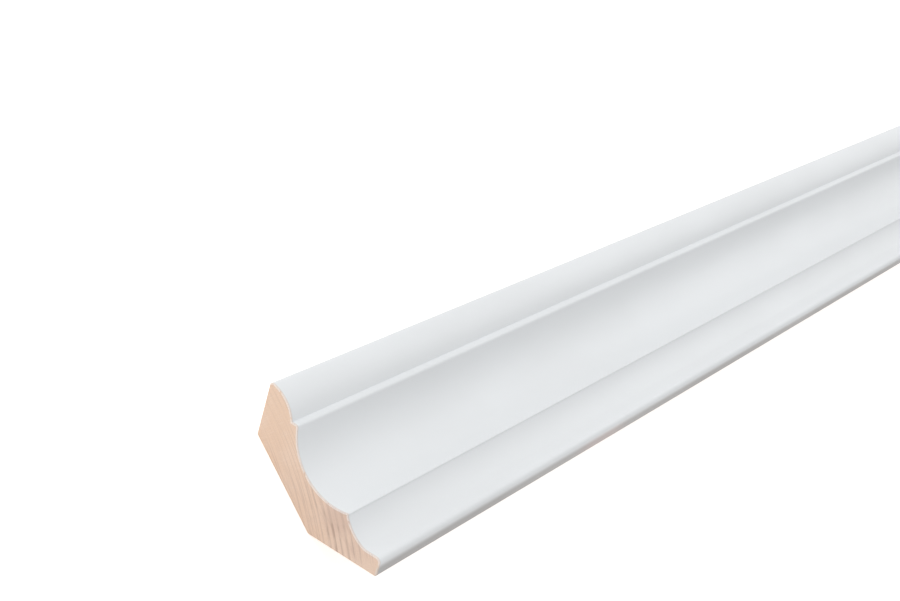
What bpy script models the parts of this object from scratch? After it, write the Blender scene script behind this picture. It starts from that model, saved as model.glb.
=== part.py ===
"""A length of cove moulding, one stick of pine run to a crown profile and lying on its back.

Its outline is drawn in the corner that the moulding bridges: p runs from that corner along the
wall seat and q along the ceiling seat. The outline is then turned so that the back lies on the
floor, z = 0, with the length along X, the bead towards +Y and the foot towards -Y.
"""

import math

import bmesh
import bpy
from mathutils import Vector

LENGTH = 0.600

# The two legs reach from the corner to the outer edges, and each seat is the flat that touches.
WALL_LEG = 0.0465
CEILING_LEG = 0.0352
WALL_SEAT = 0.0233
CEILING_SEAT = 0.0165

# The convex bead starts at the ceiling and ends on a narrow ledge.
BEAD_RADIUS = 0.0114
BEAD_HEIGHT = 0.0076
BEAD_DEPTH = 0.0095
LEDGE_WIDTH = 0.0021

# The cove runs from the ledge to the riser, a little past its lowest level.
COVE_RADIUS = 0.0175
COVE_FLOOR = 0.0117

# Past the riser a shallow hollow falls to the flat of the foot.
FOOT_WIDTH = 0.0130
RISER_HEIGHT = 0.0007
HOLLOW_RADIUS = 0.014
HOLLOW_BLEND = 0.004
FLAT_WIDTH = 0.0055
FOOT_THICKNESS = 0.0054

# Rounded arrises, from the crest of the foot to the thin edge behind the ceiling seat.
CREST_RADIUS = 0.0016
FOOT_ARRIS = 0.0005
BACK_ARRIS = 0.0010
SEAT_ARRIS = 0.0003
NOSE_ARRIS = 0.0007
LEDGE_ARRIS = 0.0009
COVE_ARRIS = 0.0003

# A facet lies at most this far inside the true curve.
FACET_GAP = 0.000006
SMOOTH_ANGLE = math.radians(30)

PAINT_COLOUR = (0.80, 0.82, 0.84, 1.0)
PAINT_ROUGHNESS = 0.42


def clear_scene():
    for obj in list(bpy.data.objects):
        bpy.data.objects.remove(obj)


def arc(centre, first, last):
    """Points on the shorter arc from first to last, both ends included."""
    radius = (first - centre).length
    start = math.atan2(first.y - centre.y, first.x - centre.x)
    end = math.atan2(last.y - centre.y, last.x - centre.x)
    sweep = (end - start + math.pi) % (2 * math.pi) - math.pi
    facet_angle = 2 * math.acos(1 - FACET_GAP / radius)
    facets = max(2, math.ceil(abs(sweep) / facet_angle))
    angles = [start + sweep * i / facets for i in range(facets + 1)]
    return [centre + radius * Vector((math.cos(a), math.sin(a))) for a in angles]


def round_corner(before, corner, after, radius):
    """The arc that rounds the corner between two straight edges."""
    back = (before - corner).normalized()
    ahead = (after - corner).normalized()
    half_angle = back.angle(ahead) / 2
    tangent_length = radius / math.tan(half_angle)
    centre = corner + (back + ahead).normalized() * radius / math.sin(half_angle)
    return arc(centre, corner + back * tangent_length, corner + ahead * tangent_length)


def centre_through(first, last, radius):
    """Centre of the arc from first to last that bulges to the right of that line."""
    half = (last - first) / 2
    left = Vector((-half.y, half.x)).normalized()
    return first + half + left * math.sqrt(radius**2 - half.length_squared)


def leg(hypotenuse, other_leg):
    return math.sqrt(hypotenuse**2 - other_leg**2)


def foot_outline(wall_corner):
    """From the wall seat round the foot and up its hollow to the root of the riser."""
    foot = Vector((WALL_LEG, 0))
    crest = Vector((WALL_LEG, FOOT_THICKNESS))
    flat_end = Vector((WALL_LEG - FLAT_WIDTH, FOOT_THICKNESS))
    riser_root = Vector((WALL_LEG - FOOT_WIDTH, riser_top().y - RISER_HEIGHT))

    points = round_corner(wall_corner, foot, crest, FOOT_ARRIS)
    points += round_corner(foot, crest, flat_end, CREST_RADIUS)

    # The blend circle touches the flat from above and the hollow from inside.
    hollow_centre = centre_through(riser_root, flat_end, HOLLOW_RADIUS)
    inner_radius = HOLLOW_RADIUS - HOLLOW_BLEND
    rise = FOOT_THICKNESS + HOLLOW_BLEND - hollow_centre.y
    blend_centre = hollow_centre + Vector((-leg(inner_radius, rise), rise))
    flat_touch = Vector((blend_centre.x, FOOT_THICKNESS))
    hollow_touch = hollow_centre + (blend_centre - hollow_centre) * HOLLOW_RADIUS / inner_radius
    points += arc(blend_centre, flat_touch, hollow_touch)
    points += arc(hollow_centre, hollow_touch, riser_root)[1:]
    return points


def ledge_end():
    return Vector((BEAD_DEPTH + LEDGE_WIDTH, CEILING_LEG - BEAD_HEIGHT))


def cove_centre():
    height = COVE_FLOOR + COVE_RADIUS
    reach = leg(COVE_RADIUS, height - ledge_end().y)
    return Vector((ledge_end().x + reach, height))


def riser_top():
    """Where the riser's face would meet the cove if their arris were sharp."""
    p = WALL_LEG - FOOT_WIDTH
    return Vector((p, cove_centre().y - leg(COVE_RADIUS, p - cove_centre().x)))


def cove_outline():
    """From the riser's arris up the cove to the arris of the ledge."""
    centre = cove_centre()

    riser = riser_top().x
    low_radius = COVE_RADIUS + COVE_ARRIS
    low_p = riser - COVE_ARRIS
    low = Vector((low_p, centre.y - leg(low_radius, low_p - centre.x)))
    low_touch = centre + (low - centre) * COVE_RADIUS / low_radius
    points = arc(low, Vector((riser, low.y)), low_touch)

    ledge = ledge_end().y
    high_radius = COVE_RADIUS + LEDGE_ARRIS
    high_q = ledge - LEDGE_ARRIS
    high = Vector((centre.x - leg(high_radius, high_q - centre.y), high_q))
    high_touch = centre + (high - centre) * COVE_RADIUS / high_radius
    points += arc(centre, low_touch, high_touch)[1:-1]
    points += arc(high, high_touch, Vector((high.x, ledge)))
    return points


def bead_outline():
    """From the root of the ledge over the bead to the top of the ceiling seat."""
    nose = Vector((0, CEILING_LEG))
    ledge_root = Vector((BEAD_DEPTH, ledge_end().y))
    centre = centre_through(ledge_root, nose, BEAD_RADIUS)
    inner_radius = BEAD_RADIUS - NOSE_ARRIS
    rounding = Vector((NOSE_ARRIS, centre.y + leg(inner_radius, NOSE_ARRIS - centre.x)))
    touch = centre + (rounding - centre) * BEAD_RADIUS / inner_radius
    points = arc(centre, ledge_root, touch)
    points += arc(rounding, touch, Vector((0, rounding.y)))[1:]
    return points


def corner_outline():
    """The whole outline, anticlockwise, in the corner's p and q."""
    ceiling_corner = Vector((0, CEILING_LEG - CEILING_SEAT))
    wall_corner = Vector((WALL_LEG - WALL_SEAT, 0))
    nose = Vector((0, CEILING_LEG))
    foot = Vector((WALL_LEG, 0))
    points = round_corner(nose, ceiling_corner, wall_corner, SEAT_ARRIS)
    points += round_corner(ceiling_corner, wall_corner, foot, BACK_ARRIS)
    points += foot_outline(wall_corner)
    points += cove_outline()
    points += bead_outline()
    return points


def lying_outline():
    """The outline turned onto its back, as Y and Z, with its width centred on y = 0."""
    ceiling_corner = Vector((0, CEILING_LEG - CEILING_SEAT))
    wall_corner = Vector((WALL_LEG - WALL_SEAT, 0))
    along = (ceiling_corner - wall_corner).normalized()
    out = Vector((along.y, -along.x))
    turned = [((p - wall_corner).dot(along), (p - wall_corner).dot(out)) for p in corner_outline()]
    middle = (min(turned)[0] + max(turned)[0]) / 2
    return [(y - middle, z) for y, z in turned]


def painted_pine():
    material = bpy.data.materials.new("white_painted_pine")
    material.use_nodes = True
    shader = material.node_tree.nodes["Principled BSDF"]
    shader.inputs["Base Color"].default_value = PAINT_COLOUR
    shader.inputs["Roughness"].default_value = PAINT_ROUGHNESS
    shader.inputs["Metallic"].default_value = 0.0
    return material


def moulding():
    """The end outline as one face, extruded over the length."""
    shape = bmesh.new()
    near_end = -LENGTH / 2
    ring = [shape.verts.new((near_end, y, z)) for y, z in lying_outline()]
    end_face = shape.faces.new(ring)
    run = bmesh.ops.extrude_face_region(shape, geom=[end_face], use_keep_orig=True)
    far_ring = [v for v in run["geom"] if isinstance(v, bmesh.types.BMVert)]
    bmesh.ops.translate(shape, verts=far_ring, vec=(LENGTH, 0, 0))
    bmesh.ops.recalc_face_normals(shape, faces=shape.faces)

    mesh = bpy.data.meshes.new("cove_moulding")
    shape.to_mesh(mesh)
    shape.free()
    mesh.shade_smooth()
    mesh.set_sharp_from_angle(angle=SMOOTH_ANGLE)
    mesh.materials.append(painted_pine())
    obj = bpy.data.objects.new("cove_moulding", mesh)
    bpy.context.scene.collection.objects.link(obj)
    return obj


clear_scene()
moulding()
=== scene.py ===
"""A stick of white painted pine cove moulding, lying on its back on a white table."""

import math

import bmesh
import bpy
from mathutils import Matrix, Vector


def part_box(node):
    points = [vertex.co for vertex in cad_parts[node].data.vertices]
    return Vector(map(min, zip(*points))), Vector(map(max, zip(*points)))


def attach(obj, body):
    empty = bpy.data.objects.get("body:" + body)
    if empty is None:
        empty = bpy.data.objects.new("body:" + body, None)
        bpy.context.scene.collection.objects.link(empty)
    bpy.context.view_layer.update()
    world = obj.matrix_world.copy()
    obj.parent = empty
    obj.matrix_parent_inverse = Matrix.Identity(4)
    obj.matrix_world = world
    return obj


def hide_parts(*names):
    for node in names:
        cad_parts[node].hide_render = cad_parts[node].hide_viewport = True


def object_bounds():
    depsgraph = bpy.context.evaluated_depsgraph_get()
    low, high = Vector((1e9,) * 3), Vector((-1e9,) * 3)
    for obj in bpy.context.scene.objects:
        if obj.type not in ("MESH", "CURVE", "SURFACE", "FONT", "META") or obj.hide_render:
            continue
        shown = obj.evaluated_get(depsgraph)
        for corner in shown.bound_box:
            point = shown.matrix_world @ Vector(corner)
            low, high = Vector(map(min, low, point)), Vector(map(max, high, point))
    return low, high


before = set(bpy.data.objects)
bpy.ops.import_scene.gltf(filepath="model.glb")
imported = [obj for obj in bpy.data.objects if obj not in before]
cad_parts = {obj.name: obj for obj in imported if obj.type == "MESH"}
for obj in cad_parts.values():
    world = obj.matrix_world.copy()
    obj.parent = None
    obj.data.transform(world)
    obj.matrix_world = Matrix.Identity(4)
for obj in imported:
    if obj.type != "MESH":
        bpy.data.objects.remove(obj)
cad_low, cad_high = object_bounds()


# The stick: one length of planed pine, run to its profile in a single pass and sawn square at both
# ends. Its outline is drawn as it will sit, in the corner of a wall and a ceiling, straight by
# straight and round by round, then laid on its back and drawn out over the length.
WALL_LEG = 0.0465
CEILING_LEG = 0.0352
WALL_SEAT = 0.0233
CEILING_SEAT = 0.0165
BEAD_RADIUS = 0.0114
BEAD_HEIGHT = 0.0076
BEAD_DEPTH = 0.0095
LEDGE_WIDTH = 0.0021
COVE_RADIUS = 0.0175
COVE_FLOOR = 0.0117
FOOT_WIDTH = 0.0130
RISER_HEIGHT = 0.0007
HOLLOW_RADIUS = 0.014
HOLLOW_BLEND = 0.004
FLAT_WIDTH = 0.0055
FOOT_THICKNESS = 0.0054
CREST_RADIUS = 0.0016
FOOT_ARRIS = 0.0005
BACK_ARRIS = 0.0010
SEAT_ARRIS = 0.0003
NOSE_ARRIS = 0.0007
LEDGE_ARRIS = 0.0009
COVE_ARRIS = 0.0003
CHORD = 0.00022
FILM = 0.00045
FILM_MERGE = 0.00015
RING_CORNERS = 4
SAW_FLAW, FLAW_SEED = 0.00010, 3
BARE_LIMIT = 0.05
SMOOTH_ANGLE = math.radians(30)

stick_low, stick_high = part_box("cove_moulding")
near_end, far_end = stick_low.x, stick_high.x


def at(out_from_ceiling_corner, up_from_wall_seat):
    """A point of the near end's outline, with the wall seat level and the ceiling seat upright."""
    return Vector((near_end, -out_from_ceiling_corner, up_from_wall_seat))


def leg(hypotenuse, other_leg):
    return math.sqrt(hypotenuse**2 - other_leg**2)


def pen():
    """Where the outline's drawn end is now."""
    outline = bmesh.from_edit_mesh(bpy.context.edit_object.data)
    return next(v.co.copy() for v in outline.verts if v.select)


def run_to(place):
    bpy.ops.mesh.extrude_region_move(TRANSFORM_OT_translate={"value": place - pen()})


def turn_to(place, centre):
    """Draws the shorter arc about a centre, from the pen to a place at the same distance."""
    start, end = pen() - centre, place - centre
    angle = math.atan2(start.cross(end).x, start.dot(end))
    steps = max(3, math.ceil(abs(angle) * start.length / CHORD))
    bpy.ops.mesh.spin(steps=steps, angle=-angle, center=centre, axis=(1, 0, 0))


def round_off(corner, onward, radius):
    """Runs up to a corner between two straights and rounds it."""
    back, ahead = (pen() - corner).normalized(), (onward - corner).normalized()
    half_angle = back.angle(ahead) / 2
    tangent = radius / math.tan(half_angle)
    run_to(corner + back * tangent)
    centre = corner + (back + ahead).normalized() * radius / math.sin(half_angle)
    turn_to(corner + ahead * tangent, centre)


def arc_centre(first, last, radius):
    """Centre of an arc that bulges to the right on its way, as seen looking at the near end."""
    half = (last - first) / 2
    front = Vector((0, half.z, -half.y)).normalized()
    return first + half + front * math.sqrt(radius**2 - half.length_squared)


ceiling_corner = at(0, CEILING_LEG - CEILING_SEAT)
wall_corner = at(WALL_LEG - WALL_SEAT, 0)
nose = at(0, CEILING_LEG)
foot = at(WALL_LEG, 0)
crest = at(WALL_LEG, FOOT_THICKNESS)
flat_end = at(WALL_LEG - FLAT_WIDTH, FOOT_THICKNESS)
ledge_root = at(BEAD_DEPTH, CEILING_LEG - BEAD_HEIGHT)
ledge_end = at(BEAD_DEPTH + LEDGE_WIDTH, CEILING_LEG - BEAD_HEIGHT)

# The cove stands its own radius over its floor, and its rim passes through the ledge's end.
cove_height = COVE_FLOOR + COVE_RADIUS
cove_reach = BEAD_DEPTH + LEDGE_WIDTH + leg(COVE_RADIUS, cove_height - ledge_end.z)
cove_centre = at(cove_reach, cove_height)
riser = WALL_LEG - FOOT_WIDTH
riser_root = at(riser, cove_height - leg(COVE_RADIUS, riser - cove_reach) - RISER_HEIGHT)

# Each arris beside the cove is a small round in the wood that touches the cove.
low_radius = COVE_RADIUS + COVE_ARRIS
low_reach = riser - COVE_ARRIS
low_arris = at(low_reach, cove_height - leg(low_radius, low_reach - cove_reach))
low_touch = cove_centre + (low_arris - cove_centre) * COVE_RADIUS / low_radius
high_radius = COVE_RADIUS + LEDGE_ARRIS
high_level = ledge_end.z - LEDGE_ARRIS
high_arris = at(cove_reach - leg(high_radius, high_level - cove_height), high_level)
high_touch = cove_centre + (high_arris - cove_centre) * COVE_RADIUS / high_radius

# The blend below the hollow touches the flat from above and the hollow from inside.
hollow_centre = arc_centre(riser_root, flat_end, HOLLOW_RADIUS)
blend_level = FOOT_THICKNESS + HOLLOW_BLEND
inner_radius = HOLLOW_RADIUS - HOLLOW_BLEND
blend_reach = -hollow_centre.y - leg(inner_radius, blend_level - hollow_centre.z)
blend_centre = at(blend_reach, blend_level)
hollow_touch = hollow_centre + (blend_centre - hollow_centre) * HOLLOW_RADIUS / inner_radius

# The nose is a small round between the bead and the ceiling seat.
bead_centre = arc_centre(ledge_root, nose, BEAD_RADIUS)
inner_radius = BEAD_RADIUS - NOSE_ARRIS
nose_level = bead_centre.z + leg(inner_radius, NOSE_ARRIS + bead_centre.y)
nose_centre = at(NOSE_ARRIS, nose_level)
nose_touch = bead_centre + (nose_centre - bead_centre) * BEAD_RADIUS / inner_radius

# A small plane merged into one point is the pen that draws the outline.
bpy.ops.object.select_all(action="DESELECT")
bpy.ops.mesh.primitive_plane_add(size=FILM, location=(nose + ceiling_corner) / 2)
stick = bpy.context.active_object
stick.name = stick.data.name = "moulding_stick"
bpy.ops.object.transform_apply(location=True)
bpy.ops.object.mode_set(mode="EDIT")
bpy.ops.mesh.merge(type="CENTER")
round_off(ceiling_corner, wall_corner, SEAT_ARRIS)
round_off(wall_corner, foot, BACK_ARRIS)
round_off(foot, crest, FOOT_ARRIS)
round_off(crest, flat_end, CREST_RADIUS)
run_to(at(blend_reach, FOOT_THICKNESS))
turn_to(hollow_touch, blend_centre)
turn_to(riser_root, hollow_centre)
run_to(at(riser, low_arris.z))
turn_to(low_touch, low_arris)
turn_to(high_touch, cove_centre)
turn_to(at(-high_arris.y, ledge_end.z), high_arris)
run_to(ledge_root)
turn_to(nose_touch, bead_centre)
turn_to(at(0, nose_level), nose_centre)
bpy.ops.mesh.select_all(action="SELECT")
bpy.ops.mesh.edge_face_add()

# Turned by its spring angle it lies on its back, and the frame says how far along and across.
spring_angle = math.atan2(ceiling_corner.z, -wall_corner.y)
bpy.ops.transform.rotate(value=spring_angle, orient_axis="X", center_override=wall_corner)
section = [v.co for v in bmesh.from_edit_mesh(stick.data).verts]
section_middle = (min(v.y for v in section) + max(v.y for v in section)) / 2
drop = stick_low.z - min(v.z for v in section)
across = (stick_low.y + stick_high.y) / 2 - section_middle
bpy.ops.transform.translate(value=(0, across, drop))
bpy.ops.mesh.extrude_region_move(TRANSFORM_OT_translate={"value": (far_end - near_end, 0, 0)})
bpy.ops.mesh.select_all(action="SELECT")
bpy.ops.mesh.normals_make_consistent(inside=False)
foot_run = Vector((0, -math.cos(spring_angle), math.sin(spring_angle)))
seat_rise = Vector((0, math.sin(spring_angle), math.cos(spring_angle)))


def select_faces(chosen):
    """Selects the stick's faces for which the given test holds, and nothing else."""
    bpy.ops.mesh.select_all(action="DESELECT")
    shape = bmesh.from_edit_mesh(stick.data)
    for face in shape.faces:
        face.select_set(chosen(face))
    bmesh.update_edit_mesh(stick.data)


def is_end(face):
    """True for every face on a sawn end, and only for those."""
    along = [v.co.x for v in face.verts]
    return max(along) - min(along) < FILM


def is_hidden_once_up(face):
    """True for the seats, the back and the arrises between them, which are left bare."""
    outward = max(face.normal.dot(foot_run), face.normal.dot(seat_rise))
    return not is_end(face) and outward < BARE_LIMIT


# On each sawn end a thin ring of faces follows the outline. Beside the moulded face it is the cut
# edge of the paint film, whose inner side is as uneven as a saw leaves it.
bpy.ops.mesh.select_mode(type="FACE")
select_faces(is_end)
bpy.ops.mesh.inset(thickness=FILM, use_boundary=True)
for end in (near_end, far_end):
    select_faces(
        lambda face: is_end(face) and len(face.verts) > RING_CORNERS and face.verts[0].co.x == end
    )
    bpy.ops.mesh.remove_doubles(threshold=FILM_MERGE)
    bpy.ops.transform.vertex_random(offset=SAW_FLAW, seed=FLAW_SEED)
    bpy.ops.transform.resize(value=(0, 1, 1), center_override=(end, 0, 0))


def add(tree, kind, sockets=None, **settings):
    """A shader node with its settings, and a value or another node's output for each socket."""
    made = tree.nodes.new(kind)
    for name, value in settings.items():
        setattr(made, name, value)
    for socket, value in (sockets or {}).items():
        if isinstance(value, bpy.types.NodeSocket):
            tree.links.new(value, made.inputs[socket])
        else:
            made.inputs[socket].default_value = value
    return made


def maths(tree, operation, *values):
    return add(tree, "ShaderNodeMath", dict(enumerate(values)), operation=operation).outputs[0]


def times(tree, first, *others):
    for other in others:
        first = maths(tree, "MULTIPLY", first, other)
    return first


def spread(tree, value, low, high, first, last):
    """The value carried smoothly from the range low to high into the range first to last."""
    sockets = {"Value": value, "From Min": low, "From Max": high, "To Min": first, "To Max": last}
    return add(tree, "ShaderNodeMapRange", sockets, interpolation_type="SMOOTHSTEP").outputs[0]


def blend(tree, share, first, second):
    """One colour turned into another by the given share, through a Mix node's colour sockets."""
    sockets = {0: share, 6: first, 7: second}
    return add(tree, "ShaderNodeMix", sockets, data_type="RGBA").outputs[2]


def noise_along(tree, value, scale):
    """Noise that changes with one value alone."""
    sockets = {"W": value, "Scale": scale}
    return add(tree, "ShaderNodeTexNoise", sockets, noise_dimensions="1D").outputs["Fac"]


def noise_at(tree, place, scale, detail):
    sockets = {"Vector": place, "Scale": scale, "Detail": detail}
    return add(tree, "ShaderNodeTexNoise", sockets).outputs["Fac"]


def noise(tree, stretch, scale, detail=2.0, turn=(0, 0, 0)):
    """Noise on the piece, in waves to the metre, drawn out by its stretch along X, Y and Z."""
    place = add(tree, "ShaderNodeTexCoord").outputs["Object"]
    fitted = add(tree, "ShaderNodeMapping", {"Vector": place, "Scale": stretch, "Rotation": turn})
    return noise_at(tree, fitted.outputs[0], scale, detail)


def new_group(name, inputs, outputs):
    tree = bpy.data.node_groups.new(name, "ShaderNodeTree")
    for label, (kind, value) in inputs.items():
        tree.interface.new_socket(label, in_out="INPUT", socket_type=kind).default_value = value
    for label, kind in outputs.items():
        tree.interface.new_socket(label, in_out="OUTPUT", socket_type=kind)
    return tree, tree.nodes.new("NodeGroupInput").outputs, tree.nodes.new("NodeGroupOutput").inputs


def bare_material(name):
    material = bpy.data.materials.new(name)
    material.use_nodes = True
    return material, material.node_tree, material.node_tree.nodes["Principled BSDF"]


def bump(tree, shader, strength, depth, height):
    """Gives a shader a relief of the given depth."""
    made = add(tree, "ShaderNodeBump", {"Strength": strength, "Distance": depth, "Height": height})
    tree.links.new(made.outputs[0], shader.inputs["Normal"])


# The pine itself: a slow grown stick from the outside of the log, its pith well below the back.
# Rings show as fine dark lines on the sawn ends and as straight grain on the planed faces. They are
# faint at the bead and at the toe, and darkest in a rosy streak by the riser.
PITH_Y, PITH_Z = 0.0275, -0.0975
RING_WIDTH = 0.00195
RING_SWELL, SWELL_WAVES = 0.0011, 60.0
RING_UNEVEN, GROWTH_WAVES = 0.0011, 330.0
HARDENING = (0.55, 0.92)
WINTER = (0.95, 1.0)
PALEST_YEAR = 0.55
PATCHES, PATCH_WAVES = (0.40, 0.58), 170.0
PALEST_PATCH = 0.25
DARKEST_RING = 0.85
YOUNG_RADIUS, OLD_RADIUS = 0.100, 0.112
YOUNG_HARDNESS = 0.35
SAPWOOD_RADIUS, BARK_RADIUS = 0.1192, 0.1206
BARK_HARDNESS = 0.25
BEAD_SIDE, BEAD_HARDNESS = (-0.036, -0.018), 0.08
TOE_SIDE, TOE_HARDNESS = (-0.0540, -0.0500), 0.12
STREAK_Y, STREAK_Z = -0.0385, 0.1095
STREAK_REACH = (0.0015, 0.0075)
STREAK_DARKENING, STREAK_ROSE = 0.6, 0.60
RAYS, RAY_WAVES = (0.52, 0.72), 3200.0
RAY_RADIUS, RAY_DEPTH = 0.11, 0.08
RAY_SHARE = 0.40
HAIRS, HAIR_WAVES = (0.50, 0.68), 2600.0
HAIR_SIDE = (-0.0200, -0.0060)
HAIR_STRONG, HAIR_FAINT = 0.36, 0.05
CLOUDS, CLOUD_WAVES = (0.36, 0.64), 75.0
ROSES, ROSE_WAVES = (0.50, 0.70), 110.0
ROSE_SHARE = 0.55
HEART_SIDE = (-0.0500, -0.0050)
HEART_ROSE, BEAD_ROSE = 0.40, 0.21
FLECKS, FIBRE_WAVES = (0.45, 0.75), 5200.0
FLECK_SHARE, FIBRE_RELIEF = 0.30, 0.5
LONG_GRAIN, CUT_GRAIN = 0.02, 1.0
EARLY_WOOD = (0.810, 0.625, 0.488, 1.0)
WARM_WOOD = (0.795, 0.590, 0.440, 1.0)
ROSY_WOOD = (0.580, 0.428, 0.356, 1.0)
LATE_WOOD = (0.390, 0.268, 0.214, 1.0)
RAY_WOOD = (0.860, 0.700, 0.585, 1.0)

pine, given, result = new_group(
    "pine growth",
    {"Contrast": ("NodeSocketFloat", 0.6), "Fibre Length": ("NodeSocketFloat", LONG_GRAIN)},
    {"Colour": "NodeSocketColor", "Relief": "NodeSocketFloat"},
)
place = add(pine, "ShaderNodeTexCoord").outputs["Object"]
from_pith = add(pine, "ShaderNodeMapping", {"Vector": place, "Location": (0, -PITH_Y, -PITH_Z)})
from_pith = from_pith.outputs[0]
across_grain = add(pine, "ShaderNodeSeparateXYZ", {"Vector": from_pith}).outputs
squares = [maths(pine, "POWER", across_grain[axis], 2.0) for axis in (1, 2)]
radius = maths(pine, "SQRT", maths(pine, "ADD", *squares))

# A ring darkens towards its winter line, in some years and patches more than in others.
swell = maths(pine, "MULTIPLY_ADD", noise(pine, (0.06, 1, 1), SWELL_WAVES), RING_SWELL, radius)
growth = noise_along(pine, swell, GROWTH_WAVES)
years = maths(pine, "DIVIDE", maths(pine, "MULTIPLY_ADD", growth, RING_UNEVEN, swell), RING_WIDTH)
season = maths(pine, "FRACT", years)
hardening = spread(pine, season, *HARDENING, 0.0, 1.0)
winter = spread(pine, season, *WINTER, 1.0, 0.0)
luck_sockets = {"W": maths(pine, "FLOOR", years)}
luck = add(pine, "ShaderNodeTexWhiteNoise", luck_sockets, noise_dimensions="1D").outputs["Value"]
year = spread(pine, luck, 0.0, 1.0, PALEST_YEAR, 1.0)
patches = spread(pine, noise(pine, (0.05, 1, 1), PATCH_WAVES, 1.0), *PATCHES, PALEST_PATCH, 1.0)
ring = times(pine, hardening, winter, times(pine, patches, year))

# The stick isn't equally hard all over.
age = spread(pine, radius, YOUNG_RADIUS, OLD_RADIUS, YOUNG_HARDNESS, 1.0)
sapwood = spread(pine, radius, SAPWOOD_RADIUS, BARK_RADIUS, 1.0, BARK_HARDNESS)
bead_side = spread(pine, across_grain[1], *BEAD_SIDE, 1.0, BEAD_HARDNESS)
toe_side = spread(pine, across_grain[1], *TOE_SIDE, TOE_HARDNESS, 1.0)
hardness = times(pine, age, sapwood, times(pine, bead_side, toe_side))
flattened = {0: from_pith, 1: (0, 1, 1)}
flattened = add(pine, "ShaderNodeVectorMath", flattened, operation="MULTIPLY").outputs[0]
off_streak = {0: flattened, 1: (0, STREAK_Y, STREAK_Z)}
off_streak = add(pine, "ShaderNodeVectorMath", off_streak, operation="DISTANCE").outputs["Value"]
streak = spread(pine, off_streak, *STREAK_REACH, 1.0, 0.0)
darkened = maths(pine, "MULTIPLY_ADD", streak, STREAK_DARKENING, 1.0)
late = maths(pine, "MINIMUM", times(pine, ring, hardness, darkened), DARKEST_RING)

# Rays run out from the pith, hairlines run round it, and fibres run along the stick.
turn = times(pine, maths(pine, "ARCTAN2", across_grain[1], across_grain[2]), RAY_RADIUS)
depth = times(pine, radius, RAY_DEPTH)
ray_place = add(pine, "ShaderNodeCombineXYZ", {0: across_grain[0], 1: turn, 2: depth}).outputs[0]
rays = spread(pine, noise_at(pine, ray_place, RAY_WAVES, 1.0), *RAYS, 0.0, RAY_SHARE)
hairs = spread(pine, noise_along(pine, radius, HAIR_WAVES), *HAIRS, 0.0, 1.0)
hair_side = spread(pine, across_grain[1], *HAIR_SIDE, HAIR_STRONG, HAIR_FAINT)
hairlines = times(pine, hairs, times(pine, toe_side, hair_side))
fibre_stretch = add(pine, "ShaderNodeCombineXYZ", {0: given["Fibre Length"], 1: 1.0, 2: 1.0})
fibre_place = add(pine, "ShaderNodeMapping", {"Vector": place, "Scale": fibre_stretch.outputs[0]})
fibres = noise_at(pine, fibre_place.outputs[0], FIBRE_WAVES, 2.0)

cloud = spread(pine, noise(pine, (0.15, 1, 1), CLOUD_WAVES, 1.0), *CLOUDS, 0.0, 1.0)
rose = spread(pine, noise(pine, (0.1, 1, 1), ROSE_WAVES, 1.0), *ROSES, 0.0, ROSE_SHARE)
heart_side = spread(pine, across_grain[1], *HEART_SIDE, HEART_ROSE, BEAD_ROSE)
ground = blend(pine, cloud, EARLY_WOOD, WARM_WOOD)
ground = blend(pine, rays, ground, RAY_WOOD)
ground = blend(pine, times(pine, rose, hardness), ground, ROSY_WOOD)
ground = blend(pine, times(pine, streak, STREAK_ROSE), ground, ROSY_WOOD)
ground = blend(pine, heart_side, ground, ROSY_WOOD)
ringed = blend(pine, times(pine, late, given["Contrast"]), ground, LATE_WOOD)
ringed = blend(pine, times(pine, hairlines, given["Contrast"]), ringed, LATE_WOOD)
flecks = spread(pine, fibres, *FLECKS, 0.0, FLECK_SHARE)
pine.links.new(blend(pine, flecks, ringed, LATE_WOOD), result["Colour"])
pine.links.new(maths(pine, "MULTIPLY_ADD", fibres, FIBRE_RELIEF, late), result["Relief"])


def grown_pine(tree, contrast, fibre_length):
    sockets = {"Contrast": contrast, "Fibre Length": fibre_length}
    return add(tree, "ShaderNodeGroup", sockets, node_tree=pine).outputs


# Its sawn ends: a fine crosscut blade leaves them flat and matt, with faint straight marks that run
# the way the blade fed.
SAW_FEED = math.radians(28)
SAW_PITCH = 1500.0
SAW_MARKS, MARK_SHARE = (0.50, 0.80), 0.22
MARK_RELIEF, MARK_STRENGTH = 1.2, 0.55
MARK_DEPTH = 0.00002
END_CONTRAST = 0.84
END_SPECULAR = 0.25
EARLY_ROUGHNESS, LATE_ROUGHNESS = 0.88, 0.74

sawn_end, tree, wood = bare_material("sawn_end_grain")
grown = grown_pine(tree, END_CONTRAST, CUT_GRAIN)
saw = noise(tree, (1, 0.035, 1), SAW_PITCH, 2.0, (SAW_FEED, 0, 0))
marks = spread(tree, saw, *SAW_MARKS, 0.0, MARK_SHARE)
tree.links.new(blend(tree, marks, grown["Colour"], LATE_WOOD), wood.inputs["Base Color"])
relief = maths(tree, "MULTIPLY_ADD", saw, MARK_RELIEF, grown["Relief"])
bump(tree, wood, MARK_STRENGTH, MARK_DEPTH, relief)
rough = spread(tree, grown["Relief"], 0.0, 1.2, EARLY_ROUGHNESS, LATE_ROUGHNESS)
tree.links.new(rough, wood.inputs["Roughness"])
wood.inputs["Specular IOR Level"].default_value = END_SPECULAR


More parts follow.
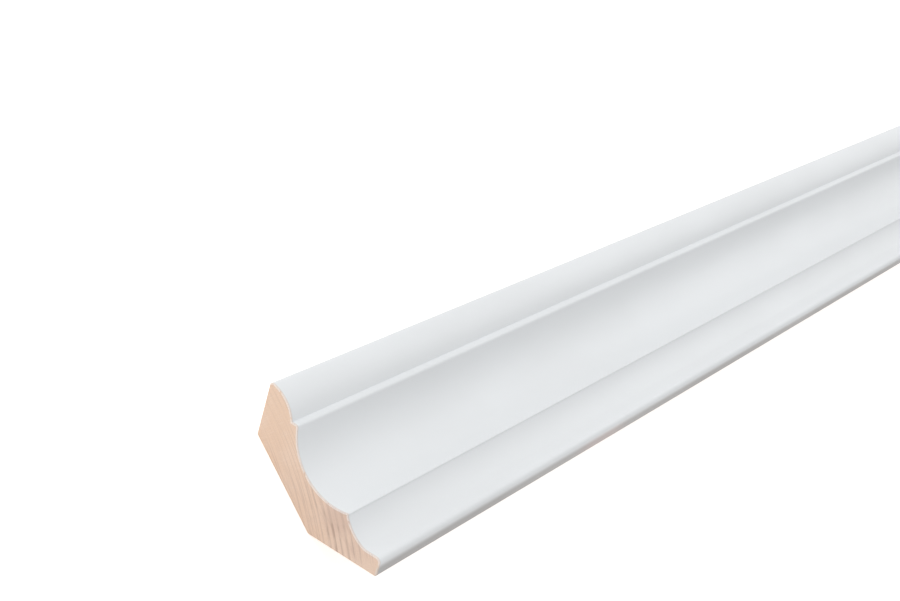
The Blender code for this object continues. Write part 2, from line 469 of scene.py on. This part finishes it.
# The paint: two sprayed coats of white satin over the whole moulded face, with the wood's raised
# grain and the fine peel of a spray gun. On the foot's edge, which the gun barely reached, the coat
# is thin, greyish and rubbed in one spot, and its colour there is also darkened as painted shade,
# most of all low down by the table. At the cuts it is chipped and holds some sawdust.
PAINT_WHITE = (0.828, 0.850, 0.866, 1.0)
PAINT_SHADE = (0.800, 0.820, 0.834, 1.0)
CLOUDING_WAVES = 45.0
THIN_PLACES, THIN_SHARE = (0.35, 0.70), 0.7
DULL_PLACES = (0.3, 0.7)
SATIN_ROUGHNESS, DULL_ROUGHNESS = 0.36, 0.44
PEEL_WAVES, GRAIN_WAVES = 800.0, 1100.0
PEEL_DEPTH, PEEL_STRENGTH = 0.000012, 0.5
FACE_GRAIN = 0.8
# The foot edge's thin coat, darkened further as painted shade that deepens low down by the table.
THIN_COAT_AND_SHADE = (0.380, 0.367, 0.359, 1.0)
EDGE_START, EDGE_END = 0.0008, 0.00008
LOW_SHADE_START, LOW_SHADE_END = 0.0048, 0.0020
RUBBED_COAT = (0.500, 0.410, 0.390, 1.0)
RUB_PLACE, RUB_REACH = -0.176, (0.0044, 0.022)
RUB_SHARE = 0.75
CHIPS, CHIP_WAVES = (0.63, 0.80), 650.0
CHIP_REACH = 0.00022
CHIP_CONTRAST, CHIP_ROUGHNESS = 0.8, 0.8
CHIP_RELIEF = -4.0
DUST_REACH, DUST_SHARE = 0.0007, 0.60

spray, given, result = new_group(
    "sprayed paint",
    {"Grain": ("NodeSocketFloat", 0.5)},
    {"Colour": "NodeSocketColor", "Roughness": "NodeSocketFloat", "Relief": "NodeSocketFloat"},
)
clouding = noise(spray, (0.35, 1, 1), CLOUDING_WAVES, 3.0)
peel = noise(spray, (1, 1, 1), PEEL_WAVES, 1.0)
raised_grain = noise(spray, (0.018, 1, 1), GRAIN_WAVES, 3.0)
thin = spread(spray, clouding, *THIN_PLACES, 0.0, THIN_SHARE)
spray.links.new(blend(spray, thin, PAINT_WHITE, PAINT_SHADE), result["Colour"])
rough = spread(spray, clouding, *DULL_PLACES, SATIN_ROUGHNESS, DULL_ROUGHNESS)
spray.links.new(rough, result["Roughness"])
grain_share = times(spray, raised_grain, given["Grain"])
spray.links.new(maths(spray, "ADD", grain_share, peel), result["Relief"])


def sprayed_paint(tree, grain):
    return add(tree, "ShaderNodeGroup", {"Grain": grain}, node_tree=spray).outputs


def reach_along(tree, place, direction):
    sockets = {0: place, 1: direction}
    return add(tree, "ShaderNodeVectorMath", sockets, operation="DOT_PRODUCT").outputs["Value"]


corners = [v.co for v in bmesh.from_edit_mesh(stick.data).verts]
foot_edge = max(corner.dot(foot_run) for corner in corners)
seat_level = min(corner.dot(seat_rise) for corner in corners)

painted_face, tree, coat = bare_material("white_satin_paint")
paint = sprayed_paint(tree, FACE_GRAIN)
grown = grown_pine(tree, CHIP_CONTRAST, LONG_GRAIN)
place = add(tree, "ShaderNodeTexCoord").outputs["Object"]
along = add(tree, "ShaderNodeSeparateXYZ", {"Vector": place}).outputs[0]
from_end = maths(tree, "SUBTRACT", far_end, maths(tree, "ABSOLUTE", along))
bitten = spread(tree, noise(tree, (1, 1, 1), CHIP_WAVES, 3.0), *CHIPS, 0.0, CHIP_REACH)
chipped = maths(tree, "GREATER_THAN", bitten, from_end)
out = reach_along(tree, place, foot_run)
up = reach_along(tree, place, seat_rise)
# The foot's edge gets the thin coat plus painted shade, growing darker towards the table.
on_edge = spread(tree, out, foot_edge - EDGE_START, foot_edge - EDGE_END, 0.0, 1.0)
low_down = spread(tree, up, seat_level + LOW_SHADE_START, seat_level + LOW_SHADE_END, 0.0, 1.0)
grazed_and_shaded = times(tree, on_edge, low_down)
from_rub = maths(tree, "ABSOLUTE", maths(tree, "SUBTRACT", along, RUB_PLACE))
rubbed = spread(tree, from_rub, *RUB_REACH, RUB_SHARE, 0.0)
thin_coat_and_shade = blend(tree, rubbed, THIN_COAT_AND_SHADE, RUBBED_COAT)
sprayed = blend(tree, grazed_and_shaded, paint["Colour"], thin_coat_and_shade)
dust = spread(tree, from_end, 0.0, DUST_REACH, DUST_SHARE, 0.0)
sprayed = blend(tree, dust, sprayed, grown["Colour"])
tree.links.new(blend(tree, chipped, sprayed, grown["Colour"]), coat.inputs["Base Color"])
rough = {0: chipped, 2: paint["Roughness"], 3: CHIP_ROUGHNESS}
tree.links.new(add(tree, "ShaderNodeMix", rough).outputs[0], coat.inputs["Roughness"])
relief = maths(tree, "MULTIPLY_ADD", chipped, CHIP_RELIEF, paint["Relief"])
bump(tree, coat, PEEL_STRENGTH, PEEL_DEPTH, relief)


# Its back and its two seats: planed bare pine, hidden once the moulding is up. Long grain runs
# straight, the planer's knives leave a fine ripple, and paint has crept round from both edges. The
# bare wood is darkened towards brown in patches, a painted shade for faces that look down.
RIPPLE_PITCH = 0.0013
RIPPLE_RELIEF, RIPPLE_STRENGTH = 0.25, 0.6
RIPPLE_DEPTH = 0.000010
MIST_LEVEL, MIST_FADE = 0.0124, 0.0016
MIST_SLOPE = 0.028
MIST_RAGGED, RAGGED_WAVES = 0.0016, 260.0
MIST_SHARE = 0.92
MIST_GRAIN = 1.0
# The brown the bare wood is darkened towards in patches, as painted shade.
SHADE_BROWN = (0.420, 0.270, 0.150, 1.0)
SHADE_PATCHES = (0.25, 0.75)
LEAST_SHADE, MOST_SHADE = 0.10, 0.22
BACK_CONTRAST = 0.95
BACK_SPECULAR = 0.35
BARE_ROUGHNESS, MIST_ROUGHNESS = 0.66, 0.45

planed_back, tree, wood = bare_material("planed_pine")
paint = sprayed_paint(tree, MIST_GRAIN)
grown = grown_pine(tree, BACK_CONTRAST, LONG_GRAIN)
place = add(tree, "ShaderNodeTexCoord").outputs["Object"]
spot = add(tree, "ShaderNodeSeparateXYZ", {"Vector": place}).outputs
edge_level = maths(tree, "MULTIPLY_ADD", spot[1], MIST_SLOPE, spot[2])
ragged = noise(tree, (0.3, 1, 1), RAGGED_WAVES, 4.0)
reach = maths(tree, "MULTIPLY_ADD", ragged, MIST_RAGGED, edge_level)
mist = spread(tree, reach, MIST_LEVEL, MIST_LEVEL + MIST_FADE, 0.0, MIST_SHARE)
# Painted shade: the bare wood is darkened towards brown in patches, as these faces look down.
painted_shade = spread(tree, ragged, *SHADE_PATCHES, LEAST_SHADE, MOST_SHADE)
shaded_wood = blend(tree, painted_shade, grown["Colour"], SHADE_BROWN)
tree.links.new(blend(tree, mist, shaded_wood, paint["Colour"]), wood.inputs["Base Color"])
rough = spread(tree, mist, 0.0, 1.0, BARE_ROUGHNESS, MIST_ROUGHNESS)
tree.links.new(rough, wood.inputs["Roughness"])
ripple = maths(tree, "SINE", times(tree, spot[0], 2 * math.pi / RIPPLE_PITCH))
relief = maths(tree, "MULTIPLY_ADD", ripple, RIPPLE_RELIEF, grown["Relief"])
bump(tree, wood, RIPPLE_STRENGTH, RIPPLE_DEPTH, relief)
wood.inputs["Specular IOR Level"].default_value = BACK_SPECULAR


def is_cut_film(face):
    """True for a ring face on a sawn end that runs beside a painted face."""
    beside = [other for edge in face.edges for other in edge.link_faces if not is_end(other)]
    return is_end(face) and not all(map(is_hidden_once_up, beside))


def whole_stick(face):
    return True


for finish, chosen in (
    (painted_face, whole_stick),
    (sawn_end, is_end),
    (planed_back, is_hidden_once_up),
):
    bpy.ops.object.material_slot_add()
    stick.active_material = finish
    select_faces(chosen)
    bpy.ops.object.material_slot_assign()
stick.active_material_index = 0
select_faces(is_cut_film)
bpy.ops.object.material_slot_assign()
bpy.ops.mesh.select_all(action="DESELECT")
bpy.ops.object.mode_set(mode="OBJECT")
bpy.ops.object.shade_smooth_by_angle(angle=SMOOTH_ANGLE)
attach(stick, "root")
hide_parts("cove_moulding")


# The studio: one wide sheet of matt white laminate for a table top, so bright under the lights that
# it runs to white, in a pale room.
TABLE_SIZE = 30.0
TABLE_WHITE = (0.93, 0.93, 0.93, 1.0)
TABLE_ROUGHNESS = 0.7
TABLE_GLOW = 0.50
TOOTH_WAVES, TOOTH_STRENGTH = 900.0, 0.2
TOOTH_DEPTH = 0.00001
GLOW_WHITE = (1, 1, 1, 1)
ROOM_LIGHT = 0.60

bpy.ops.mesh.primitive_plane_add(size=TABLE_SIZE, location=(0, 0, cad_low.z))
table = bpy.context.active_object
table.name = "table_top"
table_white, tree, laminate = bare_material("white_laminate")
bump(tree, laminate, TOOTH_STRENGTH, TOOTH_DEPTH, noise(tree, (1, 1, 1), TOOTH_WAVES, 2.0))
laminate.inputs["Base Color"].default_value = TABLE_WHITE
laminate.inputs["Roughness"].default_value = TABLE_ROUGHNESS
laminate.inputs["Emission Color"].default_value = GLOW_WHITE
laminate.inputs["Emission Strength"].default_value = TABLE_GLOW
table.data.materials.append(table_white)

room = bpy.data.worlds.new("pale_room")
room.use_nodes = True
room.node_tree.nodes["Background"].inputs["Color"].default_value = GLOW_WHITE
room.node_tree.nodes["Background"].inputs["Strength"].default_value = ROOM_LIGHT
bpy.context.scene.world = room

# Four square soft lights hang round the stick, all as far from it and facing it: one high over the
# bead's side, one low beyond the bead, and one beyond each end.
LIGHT_DISTANCE = 1.6
WIDE_BOX, SMALL_BOX = 1.4, 1.0


def softbox(name, toward, size, watts):
    direction = Vector(toward).normalized()
    aim = direction.to_track_quat("Z", "Y").to_euler()
    bpy.ops.object.light_add(type="AREA", location=direction * LIGHT_DISTANCE, rotation=aim)
    light = bpy.context.active_object
    light.name = name
    light.data.size = size
    light.data.energy = watts


softbox("overhead_softbox", toward=(0, 0.7, 1), size=WIDE_BOX, watts=7.8)
softbox("bead_side_softbox", toward=(0, 1, 0.5), size=SMALL_BOX, watts=2.0)
softbox("front_softbox", toward=(-1, -0.1, 0.45), size=SMALL_BOX, watts=2.8)
softbox("far_softbox", toward=(1, 0.1, 0.6), size=SMALL_BOX, watts=2.0)

# The camera looks down along the stick through a long lens, from beyond its near end, and is held
# almost on its side.
CAMERA_PLACE = (-0.6497, -0.0055, 0.3275)
LOOKS_DOWN = math.radians(35.55)
HEADING = math.radians(4.81)
ROLL = math.radians(59.85)
LENS = 70.9
SENSOR_WIDTH = 36.0
NEAREST_SEEN = 0.01

level = math.cos(LOOKS_DOWN)
forward = Vector((level * math.cos(HEADING), level * math.sin(HEADING), -math.sin(LOOKS_DOWN)))
turn = forward.to_track_quat("-Z", "Y").to_matrix() @ Matrix.Rotation(ROLL, 3, "Z")
bpy.ops.object.camera_add(location=CAMERA_PLACE, rotation=turn.to_euler())
camera = bpy.context.active_object
camera.data.sensor_fit = "HORIZONTAL"
camera.data.sensor_width = SENSOR_WIDTH
camera.data.lens = LENS
camera.data.clip_start = NEAREST_SEEN
bpy.context.scene.camera = camera
bpy.context.scene.view_settings.view_transform = "Standard"
